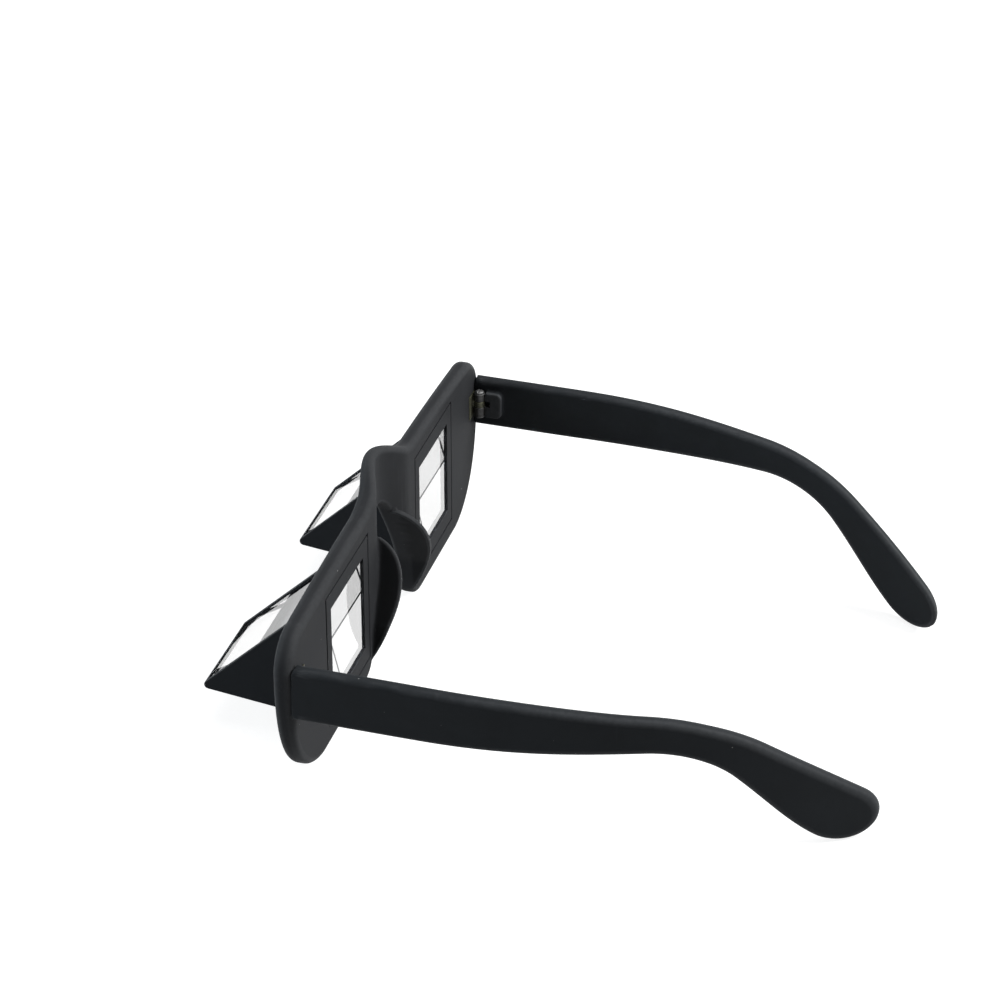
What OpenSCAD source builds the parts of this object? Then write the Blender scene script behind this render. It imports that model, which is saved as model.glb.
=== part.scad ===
// Prism spectacles that turn the wearer's view upwards: a moulded front with two prism units and two
// folding temples. All sizes are millimetres. The pieces are drawn in the frame of the front plate:
// X runs to the wearer's left, Y to the rear and Z up, with Y = 0 on the plate's rear face and Z = 0
// on the eye line. stand() then sets the whole assembly down on its lower rim and its temple tips.

/* [Front plate] */
// Width of the front plate
frame_w = 152; // [149:0.5:158]
// Height of the plate's upper edge above the eye line, beside the bridge
frame_top = 22.5; // [22:0.1:26]
// Fall of the upper edge from the middle to the sides
top_fall = 2.9; // [1:0.1:4]
// Depth of the plate below the eye line
frame_bottom = 23.1; // [22:0.1:25]
// Thickness of the plate
plate_t = 4.6; // [4.2:0.1:5.2]
// Radius of the plate's rounded edges
edge_r = 1.6; // [1:0.1:2]
// Width of the upper outer corners' rounding
corner_w = 10.5; // [8:0.5:13]
// Height of the upper outer corners' rounding
corner_h = 9.5; // [7:0.5:10]
// Width of the sweep from the lower rim up to the side
sweep_w = 22; // [20:0.5:26]
// Height of the end of that sweep above the eye line
sweep_top = 8; // [5:0.5:9]

/* [Bridge and nose] */
// Height that the bridge rises above the plate's upper edge
bridge_rise = 6.6; // [5:0.1:7.2]
// Width over which the bridge rises
bridge_w = 41; // [37:0.5:46]
// Distance that the bridge arches forward
bridge_arch = 3.6; // [2:0.1:4.5]
// Width over which the bridge arches forward
arch_w = 28; // [24:0.5:31]
// Thickness of the bridge
bridge_t = 3.3; // [3:0.1:4.2]
// Height of the nose arch above the eye line
nose_top = 14; // [11:0.5:15]
// Width of the nose opening below its arch
nose_w = 12.3; // [10:0.1:14]
// Angle between each side of the nose opening and the upright
nose_flare = 26.4; // [22:0.2:27]
// Depth of the nose pads behind the plate
pad_d = 5.3; // [3.5:0.1:6]
// Length of the nose pads along the sides of the nose opening
pad_l = 34; // [30:0.5:35]
// Thickness of the nose pads
pad_t = 1.4; // [1:0.1:1.6]

/* [Prism units] */
// Distance between the centres of the two prisms
pupil_d = 70; // [68:0.5:74]
// Width of the eye opening
eye_w = 24.4; // [22:0.1:24.6]
// Height of the eye opening
eye_h = 26; // [22:0.5:27]
// Width of the bezel's border beside the eye opening
bezel_side = 3.2; // [3:0.1:3.6]
// Height of the bezel's border above and below the eye opening
bezel_ends = 4.2; // [3.9:0.1:4.4]
// Thickness of the bezel
bezel_t = 1; // [0.8:0.1:1.4]
// Thickness of the housing's flange
flange_t = 1.2; // [0.8:0.1:1.4]
// Width of the housing
housing_w = 28; // [27.6:0.1:28.6]
// Reach of the housing's tip in front of the plate's rear face
housing_reach = 32.3; // [29.3:0.2:32.5]
// Thickness of the housing's side walls
wall_t = 1; // [0.8:0.1:1.2]
// Thickness of the housing's floor
floor_t = 1.2; // [0.8:0.1:1.5]
// Radius of the housing's tip
tip_r = 1.1; // [0.8:0.05:1.3]
// Depth of the tip below the eye line
tip_drop = 12.7; // [12.2:0.1:13.2]
// Rise of the window face from the tip, in degrees
window_angle = 43; // [41:0.5:43]
// Fall of the floor from the tip, in degrees
floor_angle = 7.2; // [5:0.1:7.4]
// Depth of the glass below the rim of the window
glass_recess = 0.6; // [0.4:0.1:0.8]
// Height of the prism's blunt front edge
glass_edge_h = 0.4; // [0.3:0.1:1]
// Fall of the mirror from the tip, in degrees
mirror_angle = 4; // [3:0.1:6]
// Thickness of the mirror layer under the prism
mirror_t = 0.3; // [0.2:0.05:0.5]

/* [Temples] */
// Reach of the temples behind the plate
temple_reach = 131.2; // [124:0.2:136]
// Thickness of the temples
temple_t = 3.6; // [3.2:0.1:4]
// Height of the temples at the front
temple_h = 13.8; // [12:0.2:14]
// Height of the temples' centre line above the eye line at the front
temple_z = 6.8; // [6.4:0.1:7.2]
// Fall of the temples towards the ear, in degrees
temple_fall = 1; // [0:0.2:2]
// Distance from the plate to the start of the ear bend
bend_y = 80.7; // [76:0.1:84]
// Radius of the ear bend
bend_r = 37; // [32:1:42]
// Angle of the ear bend below the level
bend_angle = 40; // [37:0.5:44]
// Height of the temple at its waist
waist_h = 8.6; // [7:0.1:9.6]
// Length along the temple from its front to its waist
waist_l = 91; // [86:0.2:95]
// Half of the paddle's height
paddle_r = 6.5; // [5.5:0.1:7.5]
// Length of the paddle's rounded end
paddle_l = 9.2; // [7:0.2:11]
// Distance from the plate to where the temples begin to bow inwards
bow_y = 31; // [22:1:36]
// Radius of the temples' inward bow
bow_r = 182; // [175:1:220]
// Radius of the temples' rounded edges
temple_edge_r = 1.4; // [0.8:0.1:1.5]

/* [Hinges] */
// Radius of the hinge screw's shank
pin_r = 0.7; // [0.6:0.05:0.8]
// Outer radius of the hinge knuckles
knuckle_r = 1.4; // [1.3:0.05:1.5]
// Distance from the plate's rear face to the hinge axis
hinge_y = 2; // [1.9:0.1:2.5]
// Height of the hinge's centre above the temples' centre line
hinge_lift = 0.2; // [-0.6:0.1:0.6]
// Height of the lower temple knuckle
knuckle_low_h = 3; // [2.6:0.1:3.4]
// Height of the middle knuckle, on the front plate
knuckle_mid_h = 1.6; // [1.4:0.1:2]
// Height of the upper temple knuckle
knuckle_top_h = 2.2; // [2:0.1:2.6]
// Width of the hinge leaf on the front plate
leaf_w = 4.4; // [4:0.1:5]
// Thickness of the hinge leaf on the front plate
leaf_t = 1.35; // [1.2:0.05:1.5]
// Height that the front leaf stands proud of the plate
leaf_proud = 0.3; // [0.2:0.05:0.35]
// Thickness of the temple leaf
arm_t = 1.1; // [0.9:0.05:1.2]
// Length of the temple leaf behind the hinge axis
arm_l = 5.2; // [4.6:0.1:5.6]
// Height that the boss over the temple leaf stands proud of the temple
boss_proud = 1.9; // [1.7:0.05:2.1]
// Length of that boss
boss_l = 4.4; // [4:0.1:5]
// Height of that boss above and below the temple leaf
boss_wall = 0.7; // [0.5:0.05:1]
// Radius of the hinge screw's head
head_r = 1.15; // [1:0.05:1.3]
// Height of the hinge screw's head
head_h = 0.7; // [0.5:0.05:0.9]

/* [Clearances] */
// Gap between the temples' front ends and the plate
end_gap = 0.4; // [0.35:0.05:0.6]
// Seam around pieces that are set into another
seam = 0.2; // [0.05:0.01:0.25]
// Gap between two knuckles
knuckle_gap = 0.1; // [0.06:0.01:0.15]
// Running clearance around the hinge screw
pin_gap = 0.05; // [0.02:0.01:0.08]
// Clearance around a leaf that is moulded into the plastic
insert_gap = 0.03; // [0.01:0.01:0.05]

/* [Hidden] */

$fn = 48;
BEYOND = 20; // how far a cutting shape runs past what it cuts
ROUND_STEPS = 3; // facets across a quarter of a rounded edge

bezel_w = eye_w + 2 * bezel_side;
bezel_h = eye_h + 2 * bezel_ends;
half_w = frame_w / 2;

side_inset = 0.4; // the temples' outer faces lie this far inside the plate's sides
temple_out_x = half_w - side_inset;
temple_in_x = temple_out_x - temple_t;
hinge_x = temple_in_x - knuckle_r - knuckle_gap;
hinge_h = knuckle_low_h + knuckle_mid_h + knuckle_top_h + 2 * knuckle_gap;
hinge_low_z = temple_z + hinge_lift - hinge_h / 2;
mid_low_z = hinge_low_z + knuckle_low_h + knuckle_gap;
top_low_z = mid_low_z + knuckle_mid_h + knuckle_gap;
barrel_gap = 0.2; // gap between the barrel and the boss behind it
boss_y = hinge_y + knuckle_r + barrel_gap;

// The wedge of the housing: its tip is a circle, and both faces leave it as tangents.
tip = [-housing_reach + tip_r, -tip_drop];
function window_z(y, depth) = tip.y + (tip_r - depth) / cos(window_angle) + (y - tip.x) * tan(window_angle);
function floor_z(y, depth) = tip.y - (tip_r - depth) / cos(floor_angle) - (y - tip.x) * tan(floor_angle);

// Height of the hollow's floor, which the mirror lies on, or of a level above it.
edge_rise =
    glass_edge_h + mirror_t - (tip_r - glass_recess) / cos(window_angle) - (tip_r - floor_t) / cos(floor_angle);
glass_front_y = tip.x + edge_rise / (tan(window_angle) + tan(floor_angle));
function mirror_z(y, up) = floor_z(glass_front_y, floor_t) + up - (y - glass_front_y) * tan(mirror_angle);

function bezier(p, t) =
    pow(1 - t, 3) * p[0] + 3 * pow(1 - t, 2) * t * p[1] + 3 * (1 - t) * t * t * p[2] + pow(t, 3) * p[3];
function smooth(t) = let (c = min(1, max(0, t))) c * c * (3 - 2 * c);
function bump(x, width) = abs(x) < width / 2 ? 0.5 + 0.5 * cos(360 * x / width) : 0;

// Outward normals along an open outline; side is 1 where the outside lies to the left of its run.
function outline_normal(points, i, side) =
    let (a = points[max(0, i - 1)], b = points[min(len(points) - 1, i + 1)], d = (b - a) / norm(b - a))
    side * [-d.y, d.x];

// A slab with rounded edges between an upper and a lower outline of equally many points. near(u) and
// far(u) give the two faces across Y at length u, so the slab may bend and change its thickness.
module rounded_slab(tops, bots, near, far, r) {
    steps = [for (i = [0:ROUND_STEPS]) 90 * i / ROUND_STEPS];
    half = 2 * len(steps);
    ring = 2 * half;
    function edge_points(p, n) = [
        for (s = [1, -1], j = [0:ROUND_STEPS])
            let (
                a = s > 0 ? steps[ROUND_STEPS - j] : steps[j],
                q = p - r * (1 - cos(a)) * n,
                y = s > 0 ? near(q.x) + r * (1 - sin(a)) : far(q.x) - r * (1 - sin(a))
            )
            [q.x, y, q.y]
    ];
    function reversed(list) = [for (i = [len(list) - 1:-1:0]) list[i]];
    points = [
        for (i = [0:len(tops) - 1])
            each concat(
                edge_points(tops[i], outline_normal(tops, i, 1)),
                reversed(edge_points(bots[i], outline_normal(bots, i, -1)))
            )
    ];
    last = (len(tops) - 1) * ring;
    faces = [
        for (i = [0:len(tops) - 2], k = [0:ring - 1])
            let (a = i * ring + k, b = i * ring + (k + 1) % ring)
            each [[a, b, b + ring], [a, b + ring, a + ring]],
        for (k = [0:half - 2])
            let (a = k, b = k + 1, c = ring - 2 - k, d = ring - 1 - k)
            each [[a, d, c], [a, c, b], [last + a, last + c, last + d], [last + a, last + b, last + c]]
    ];
    polyhedron(points, faces);
}

// Outline of the plate's right half, from the centre to the side.
sweep_x = half_w - sweep_w;
sweep = [
    [sweep_x, -frame_bottom],
    [sweep_x, -frame_bottom],
    [half_w, -frame_bottom],
    [half_w, sweep_top],
];
nose_crown = 2.5; // power of the curve over the nose
shoulder_x = nose_w / 2;
shoulder_drop = shoulder_x / (nose_crown * tan(nose_flare));
shoulder_z = nose_top - shoulder_drop;
flare_l = 21; // length of the straight side of the nose opening
flare = [sin(nose_flare), -cos(nose_flare)];
flare_end = [shoulder_x, shoulder_z] + flare_l * flare;
foot_w = 8; // width of the rounded foot beside the nose opening
foot_x = pupil_d / 2 - bezel_w / 2 + foot_w / 2;
foot = [
    flare_end,
    flare_end + foot_w / 2 * flare,
    [foot_x - foot_w, -frame_bottom],
    [foot_x, -frame_bottom],
];
function nose_z(x) =
    x < shoulder_x
        ? nose_top - shoulder_drop * pow(x / shoulder_x, nose_crown)
        : shoulder_z - (x - shoulder_x) / tan(nose_flare);
function top_z(x) = frame_top - top_fall * pow(x / half_w, 2) + bridge_rise * bump(x, bridge_w);

CROWN_STEPS = 4;
FLARE_STEPS = 5;
FOOT_STEPS = 8;
RUN_STEPS = 6;
SWEEP_STEPS = 18;
CORNER_STEPS = 8;
CORNER_TURN = 88;
nose_xs = [
    for (i = [0:CROWN_STEPS]) shoulder_x * i / CROWN_STEPS,
    for (i = [1:FLARE_STEPS]) shoulder_x + (flare_end.x - shoulder_x) * i / FLARE_STEPS
];
corner_x = half_w - corner_w;
corner_z = top_z(corner_x) - corner_h;
lead_steps = SWEEP_STEPS - CORNER_STEPS;
half_bots = [
    for (x = nose_xs) [x, nose_z(x)],
    for (i = [1:FOOT_STEPS]) bezier(foot, i / FOOT_STEPS),
    for (i = [1:RUN_STEPS]) [foot_x + (sweep_x - foot_x) * i / RUN_STEPS, -frame_bottom],
    for (i = [1:SWEEP_STEPS]) bezier(sweep, i / SWEEP_STEPS)
];
half_tops = [
    for (x = nose_xs) [x, top_z(x)],
    for (i = [1:FOOT_STEPS]) let (x = flare_end.x + (foot_x - flare_end.x) * i / FOOT_STEPS) [x, top_z(x)],
    for (i = [1:RUN_STEPS]) let (x = foot_x + (sweep_x - foot_x) * i / RUN_STEPS) [x, top_z(x)],
    for (i = [1:lead_steps]) let (x = sweep_x + (corner_x - sweep_x) * i / lead_steps) [x, top_z(x)],
    for (i = [1:CORNER_STEPS])
        let (a = CORNER_TURN * i / CORNER_STEPS)
        [corner_x + corner_w * sin(a), corner_z + corner_h * cos(a)]
];
function both_halves(points) = concat(
    [for (i = [len(points) - 1:-1:1]) [-points[i].x, points[i].y]],
    points
);

// The temple's spine in its side view: a straight run, the ear bend and a straight end.
spine_a = [end_gap, temple_z];
spine_b = [bend_y, temple_z - (bend_y - end_gap) * tan(temple_fall)];
bend_centre = spine_b - bend_r * [sin(temple_fall), cos(temple_fall)];
spine_c = bend_centre + bend_r * [sin(bend_angle), cos(bend_angle)];

// Reach of the paddle's rounded end beyond its centre, in a direction so many degrees off the spine.
function end_reach(turn) = norm([paddle_l * cos(turn), paddle_r * sin(turn)]);
tail_l = (temple_reach - end_reach(bend_angle) - spine_c.x) / cos(bend_angle);
spine_end = spine_c + tail_l * [cos(bend_angle), -sin(bend_angle)];
run_l = norm(spine_b - spine_a);
bend_l = bend_r * (bend_angle - temple_fall) * PI / 180;
spine_l = run_l + bend_l + tail_l;
SPINE_STEPS = 34;
PADDLE_STEPS = 9;
PADDLE_TURN = 84;
taper_power = 3.2; // how late the temple narrows towards its waist
paddle_power = 0.95; // how late it widens again towards its paddle
function spine_angle(s) =
    s < run_l ? temple_fall : min(bend_angle, temple_fall + (s - run_l) / bend_r * 180 / PI);
function spine_point(s) =
    let (a = spine_angle(s))
    s < run_l
        ? spine_a + s * [cos(a), -sin(a)]
        : s < run_l + bend_l
            ? bend_centre + bend_r * [sin(a), cos(a)]
            : spine_c + (s - run_l - bend_l) * [cos(a), -sin(a)];
function temple_height(s) =
    s < waist_l
        ? temple_h + (waist_h - temple_h) * pow(smooth(s / waist_l), taper_power)
        : waist_h + (2 * paddle_r - waist_h) * pow(smooth((s - waist_l) / (spine_l - waist_l)), paddle_power);
function temple_edge(side) = [
    for (i = [0:SPINE_STEPS])
        let (s = spine_l * i / SPINE_STEPS, a = spine_angle(s))
        spine_point(s) + side * temple_height(s) / 2 * [sin(a), cos(a)],
    for (i = [1:PADDLE_STEPS])
        let (b = PADDLE_TURN * i / PADDLE_STEPS, a = bend_angle)
        spine_end + paddle_l * sin(b) * [cos(a), -sin(a)] + side * paddle_r * cos(b) * [sin(a), cos(a)]
];
function bow(y) = y < bow_y ? 0 : bow_r - sqrt(bow_r * bow_r - (y - bow_y) * (y - bow_y));

// The stand: the plate's lower front edge and the paddles touch one level plane.
rim = [edge_r - plate_t, edge_r - frame_bottom];
stand_run = spine_end.x - rim.x;
stand_rise = spine_end.y - rim.y;
function lean_for(drop) =
    asin((drop - edge_r) / norm([stand_run, stand_rise])) - atan2(stand_rise, stand_run);
first_lean = lean_for(end_reach(90 - bend_angle)); // the paddle's lowest point shifts a little with it
lean = lean_for(end_reach(90 - bend_angle + first_lean));
stand_z = edge_r - rim.x * sin(lean) - rim.y * cos(lean);
reach_front = tip.x * cos(lean) - tip.y * sin(lean) - tip_r;
reach_rear = spine_end.x * cos(lean) - spine_end.y * sin(lean) + end_reach(bend_angle - lean);
stand_y = -(reach_front + reach_rear) / 2;

// Builds what its children draw for the wearer's left side, mirrored for the right.
module on_side(side) mirror([side == "right" ? 1 : 0, 0, 0]) children();

// Sets the assembly down on its lower rim and its temple tips.
module stand() translate([0, stand_y, stand_z]) rotate([lean, 0, 0]) children();

// A shape drawn in Y and Z, given a width along X about the prism's centre.
module across_prism(width)
    translate([pupil_d / 2 - width / 2, 0, 0])
        rotate([90, 0, 90])
            linear_extrude(width)
                children();

module prism_centred(width, y0, y1, height)
    translate([pupil_d / 2 - width / 2, y0, -height / 2])
        cube([width, y1 - y0, height]);

// Side view of the housing's wedge, grown by a clearance on its two faces.
TIP_STEPS = 6;
module wedge_profile(rear_y, grow)
    polygon([
        [rear_y, floor_z(rear_y, -grow)],
        [rear_y, window_z(rear_y, -grow)],
        tip + (tip_r + grow) * [-sin(window_angle), cos(window_angle)],
        for (i = [1:TIP_STEPS - 1])
            let (a = 90 + window_angle + (180 - window_angle - floor_angle) * i / TIP_STEPS)
            tip + (tip_r + grow) * [cos(a), sin(a)],
        tip + (tip_r + grow) * [-sin(floor_angle), -cos(floor_angle)],
    ]);

glass_gap = 0.1; // clearance between the prism and its housing
cavity_w = housing_w - 2 * wall_t;
glass_w = cavity_w - 2 * glass_gap;

module front_plate()
    rounded_slab(
        both_halves(half_tops),
        both_halves(half_bots),
        function(x) -plate_t - (bridge_arch - plate_t + bridge_t) * bump(x, arch_w),
        function(x) -bridge_arch * bump(x, arch_w),
        edge_r
    );

// A nose pad in its own plane: its rim starts and ends inside the plate.
PAD_STEPS = 18;
pad_rim = [[0, -0.2], [0.08, 0.84], [0.42, 1.9], [1, -0.2]];
pad_inset = 0.05; // the pad's inner face lies this far behind the side of the nose opening
module nose_pad()
    translate([shoulder_x, 0, shoulder_z])
        rotate([0, 90 - nose_flare, 0])
            translate([0, 0, pad_inset])
                linear_extrude(pad_t)
                    scale([pad_l, pad_d])
                        polygon([for (i = [0:PAD_STEPS]) bezier(pad_rim, i / PAD_STEPS)]);

// The leaf that is moulded into the plate, grown by a clearance for its pocket.
leaf_outboard = 1.2; // it reaches this far outboard of the hinge axis
leaf_h = hinge_h - 0.2;
module leaf_block(grow)
    translate([hinge_x + leaf_outboard - leaf_w - grow, leaf_proud - leaf_t - grow, hinge_low_z - grow])
        cube([leaf_w + 2 * grow, leaf_t + grow, leaf_h + 2 * grow]);

module front_frame()
    color("#2b2c2f")
        difference() {
            union() {
                front_plate();
                on_side("left") nose_pad();
                on_side("right") nose_pad();
            }
            for (side = ["left", "right"])
                on_side(side) {
                    prism_centred(bezel_w + 2 * seam, -bezel_t - flange_t, BEYOND, bezel_h + 2 * seam);
                    across_prism(housing_w + 2 * seam) wedge_profile(-bezel_t - flange_t / 2, seam);
                    leaf_block(insert_gap);
                }
        }

module prism_housing()
    color("#1d1e20")
        difference() {
            union() {
                across_prism(housing_w) wedge_profile(-bezel_t - flange_t, 0);
                prism_centred(bezel_w, -bezel_t - flange_t, -bezel_t, bezel_h);
            }
            across_prism(cavity_w)
                polygon([
                    [BEYOND, mirror_z(BEYOND, 0)],
                    [BEYOND, window_z(BEYOND, glass_recess - glass_gap)],
                    [-plate_t, window_z(-plate_t, glass_recess - glass_gap)],
                    [-plate_t, BEYOND],
                    [glass_front_y - glass_gap, BEYOND],
                    [glass_front_y - glass_gap, mirror_z(glass_front_y - glass_gap, 0)],
                ]);
        }

module prism()
    color("#d8e6ea", 0.45)
        across_prism(glass_w)
            polygon([
                [-bezel_t, mirror_z(-bezel_t, mirror_t)],
                [-bezel_t, window_z(-bezel_t, glass_recess)],
                [glass_front_y, window_z(glass_front_y, glass_recess)],
                [glass_front_y, mirror_z(glass_front_y, mirror_t)],
            ]);

module prism_mirror()
    color("#c9ccd0")
        across_prism(glass_w)
            polygon([
                [-bezel_t, mirror_z(-bezel_t, 0)],
                [-bezel_t, mirror_z(-bezel_t, mirror_t)],
                [glass_front_y, mirror_z(glass_front_y, mirror_t)],
                [glass_front_y, mirror_z(glass_front_y, 0)],
            ]);

module eyepiece_bezel()
    color("#26272a")
        difference() {
            prism_centred(bezel_w, -bezel_t, 0, bezel_h);
            prism_centred(eye_w, -BEYOND, BEYOND, eye_h);
        }

// A cylinder on the hinge axis, from the height z upwards.
module on_axis(z, h, r) translate([hinge_x, hinge_y, z]) cylinder(h = h, r = r);

module screw_bore(gap) on_axis(hinge_low_z - BEYOND / 2, hinge_h + BEYOND, pin_r + gap);

module frame_hinge() {
    web_t = knuckle_r;
    color("#b9b196")
        difference() {
            union() {
                leaf_block(0);
                translate([hinge_x - web_t / 2, leaf_proud, mid_low_z])
                    cube([web_t, hinge_y - leaf_proud, knuckle_mid_h]);
                on_axis(mid_low_z, knuckle_mid_h, knuckle_r);
            }
            screw_bore(pin_gap);
        }
}

// The temple's leaf: a plate beside the barrel that runs back into the boss.
arm_inset = 0.1; // its outer face lies this far inside the barrel's
arm_margin = 0.6; // it stops this far short of the barrel's ends
arm_x = hinge_x + knuckle_r - arm_inset - arm_t;
arm_low = hinge_low_z + arm_margin;
arm_top = hinge_low_z + hinge_h - arm_margin;
fork_l = 1.4; // depth of the recess behind the middle knuckle
web_end = boss_y + fork_l; // the leaf is whole behind here, and forked in front
module arm_plate(y0, y1, z0, z1, grow)
    translate([arm_x - grow, y0, z0 - grow])
        cube([arm_t + 2 * grow, y1 - y0 + grow, z1 - z0 + 2 * grow]);

module temple_hinge()
    color("#a9a9a6")
        difference() {
            union() {
                on_axis(hinge_low_z, knuckle_low_h, knuckle_r);
                on_axis(top_low_z, knuckle_top_h, knuckle_r);
                arm_plate(hinge_y, web_end, arm_low, hinge_low_z + knuckle_low_h, 0);
                arm_plate(hinge_y, web_end, top_low_z, arm_top, 0);
                arm_plate(web_end, hinge_y + arm_l, arm_low, arm_top, 0);
            }
            screw_bore(pin_gap);
        }

module hinge_screw() {
    slot_w = 0.35;
    slot_d = 0.3;
    slot_z = hinge_low_z + hinge_h + head_h - slot_d;
    color("#cfcfcc")
        difference() {
            union() {
                on_axis(hinge_low_z, hinge_h, pin_r);
                on_axis(hinge_low_z + hinge_h, head_h, head_r);
            }
            translate([hinge_x - BEYOND / 2, hinge_y - slot_w / 2, slot_z]) cube([BEYOND, slot_w, BEYOND]);
        }
}

module temple_boss() {
    boss_r = 1.4;
    boss_h = arm_top - arm_low + 2 * boss_wall;
    boss_low = arm_low - boss_wall;
    boss_root = 0.5; // depth that it runs into the temple
    translate([temple_in_x - boss_proud, boss_y, boss_low])
        rotate([90, 0, 90])
            linear_extrude(boss_proud + boss_root)
                union() {
                    square([boss_l - boss_r, boss_h]);
                    translate([0, boss_r]) square([boss_l, boss_h - 2 * boss_r]);
                    for (z = [boss_r, boss_h - boss_r])
                        translate([boss_l - boss_r, z]) circle(r = boss_r);
                }
}

module temple()
    color("#222326")
        difference() {
            union() {
                mirror([1, -1, 0])
                    rounded_slab(
                        temple_edge(1),
                        temple_edge(-1),
                        function(y) temple_in_x - bow(y),
                        function(y) temple_out_x - bow(y),
                        temple_edge_r
                    );
                temple_boss();
            }
            arm_plate(boss_y - knuckle_r, hinge_y + arm_l, arm_low, arm_top, insert_gap);
            translate([temple_in_x - BEYOND, boss_y - BEYOND, mid_low_z - knuckle_gap])
                cube([BEYOND, BEYOND + fork_l, knuckle_mid_h + 2 * knuckle_gap]);
        }

stand() {
    front_frame();
}
for (side = ["left", "right"])
    stand()
        on_side(side) {
            prism_housing();
            prism();
            prism_mirror();
            eyepiece_bezel();
            frame_hinge();
            temple();
            temple_hinge();
            hinge_screw();
        }
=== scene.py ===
import math

import bmesh
import bpy
import numpy as np
from mathutils import Matrix, Vector


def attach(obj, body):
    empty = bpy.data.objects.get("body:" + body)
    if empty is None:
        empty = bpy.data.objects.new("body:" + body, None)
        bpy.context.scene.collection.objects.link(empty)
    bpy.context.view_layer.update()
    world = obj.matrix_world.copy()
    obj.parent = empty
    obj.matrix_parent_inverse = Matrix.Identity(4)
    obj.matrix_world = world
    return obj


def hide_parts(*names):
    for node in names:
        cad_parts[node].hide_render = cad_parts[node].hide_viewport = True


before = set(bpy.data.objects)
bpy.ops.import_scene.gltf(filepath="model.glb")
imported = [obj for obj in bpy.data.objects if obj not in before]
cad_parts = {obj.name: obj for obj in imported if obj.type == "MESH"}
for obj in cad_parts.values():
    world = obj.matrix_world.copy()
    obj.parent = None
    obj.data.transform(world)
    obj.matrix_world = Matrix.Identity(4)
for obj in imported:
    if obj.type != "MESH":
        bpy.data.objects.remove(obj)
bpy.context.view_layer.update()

# Belay glasses: a moulded front with two prism units and two folding temples.
# Pieces are drawn in millimetres in the front plate's own frame (X to the wearer's left, Y to
# the rear, Z up, the plate's rear face at Y = 0 and the eye line at Z = 0), and STAND then sets
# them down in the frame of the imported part, in metres.

MM = 0.001
LEAN = math.radians(1.7665)
STAND_Y, STAND_Z = -49.9608, 23.1823
STAND_TURN = Matrix.Translation((0, STAND_Y * MM, STAND_Z * MM)) @ Matrix.Rotation(LEAN, 4, "X")
STAND = STAND_TURN @ Matrix.Scale(MM, 4)
SIDES = {"left": 1, "right": -1}
scene = bpy.context.scene

# Sizes, named as in the part's source. Those of the nose pads, the front edge of the glass and
# the temples differ a little from it, to follow the photo more closely.
FRAME_W, FRAME_TOP, TOP_FALL, FRAME_BOTTOM = 152, 22.5, 2.9, 23.1
PLATE_T, EDGE_R = 4.6, 1.6
CORNER_W, CORNER_H, CORNER_TURN = 10.5, 9.5, 88
SWEEP_W, SWEEP_TOP = 22, 8
BRIDGE_RISE, BRIDGE_W, BRIDGE_ARCH, ARCH_W, BRIDGE_T = 6.6, 41, 3.6, 28, 3.3
NOSE_TOP, NOSE_W, NOSE_FLARE, NOSE_CROWN, FLARE_L, FOOT_W = 14, 12.3, 26.4, 2.5, 21, 8
PAD_D, PAD_L, PAD_T = 5.75, 33.3, 1.2
PUPIL_D, EYE_W, EYE_H = 70, 24.4, 26
BEZEL_SIDE, BEZEL_ENDS, BEZEL_T, FLANGE_T = 3.2, 4.2, 1, 1.2
HOUSING_W, HOUSING_REACH, WALL_T, FLOOR_T = 28, 32.3, 1, 1.2
TIP_R, TIP_DROP, GLASS_EDGE_H = 1.1, 12.7, 0.02
WINDOW_ANGLE, FLOOR_ANGLE, MIRROR_ANGLE = math.radians(43), math.radians(7.2), math.radians(4)
GLASS_RECESS, MIRROR_T, GLASS_GAP = 0.6, 0.3, 0.1
TEMPLE_REACH, TEMPLE_T, TEMPLE_H, TEMPLE_Z, TEMPLE_EDGE_R = 129.7, 3.6, 13.8, 6.8, 1.4
TEMPLE_FALL, BEND_ANGLE = math.radians(1), math.radians(39.2)
BEND_Y, BEND_R, WAIST_H, WAIST_L = 80.4, 37.3, 8.4, 92
BOW_Y, BOW_R = 31, 180.2
PIN_R, KNUCKLE_R, HINGE_Y, HINGE_LIFT = 0.7, 1.4, 2, 0.2
KNUCKLE_LOW_H, KNUCKLE_MID_H, KNUCKLE_TOP_H, KNUCKLE_GAP = 3, 1.6, 2.2, 0.1
LEAF_W, LEAF_T, LEAF_PROUD, LEAF_OUTBOARD = 4.4, 1.35, 0.3, 1.2
ARM_T, ARM_L, ARM_INSET, ARM_MARGIN = 1.1, 5.2, 0.1, 0.6
BOSS_PROUD, BOSS_L, BOSS_WALL, BOSS_R, BOSS_ROOT, FORK_L = 1.9, 4.4, 0.7, 1.4, 0.5, 1.4
HEAD_R, HEAD_H, SLOT_W, SLOT_D = 1.15, 0.7, 0.35, 0.3
END_GAP, SEAM, PIN_GAP, INSERT_GAP, BARREL_GAP, SIDE_INSET = 0.15, 0.2, 0.05, 0.03, 0.2, 0.4
LEAF_TOP_GAP = 0.2
BEYOND = 20

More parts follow.
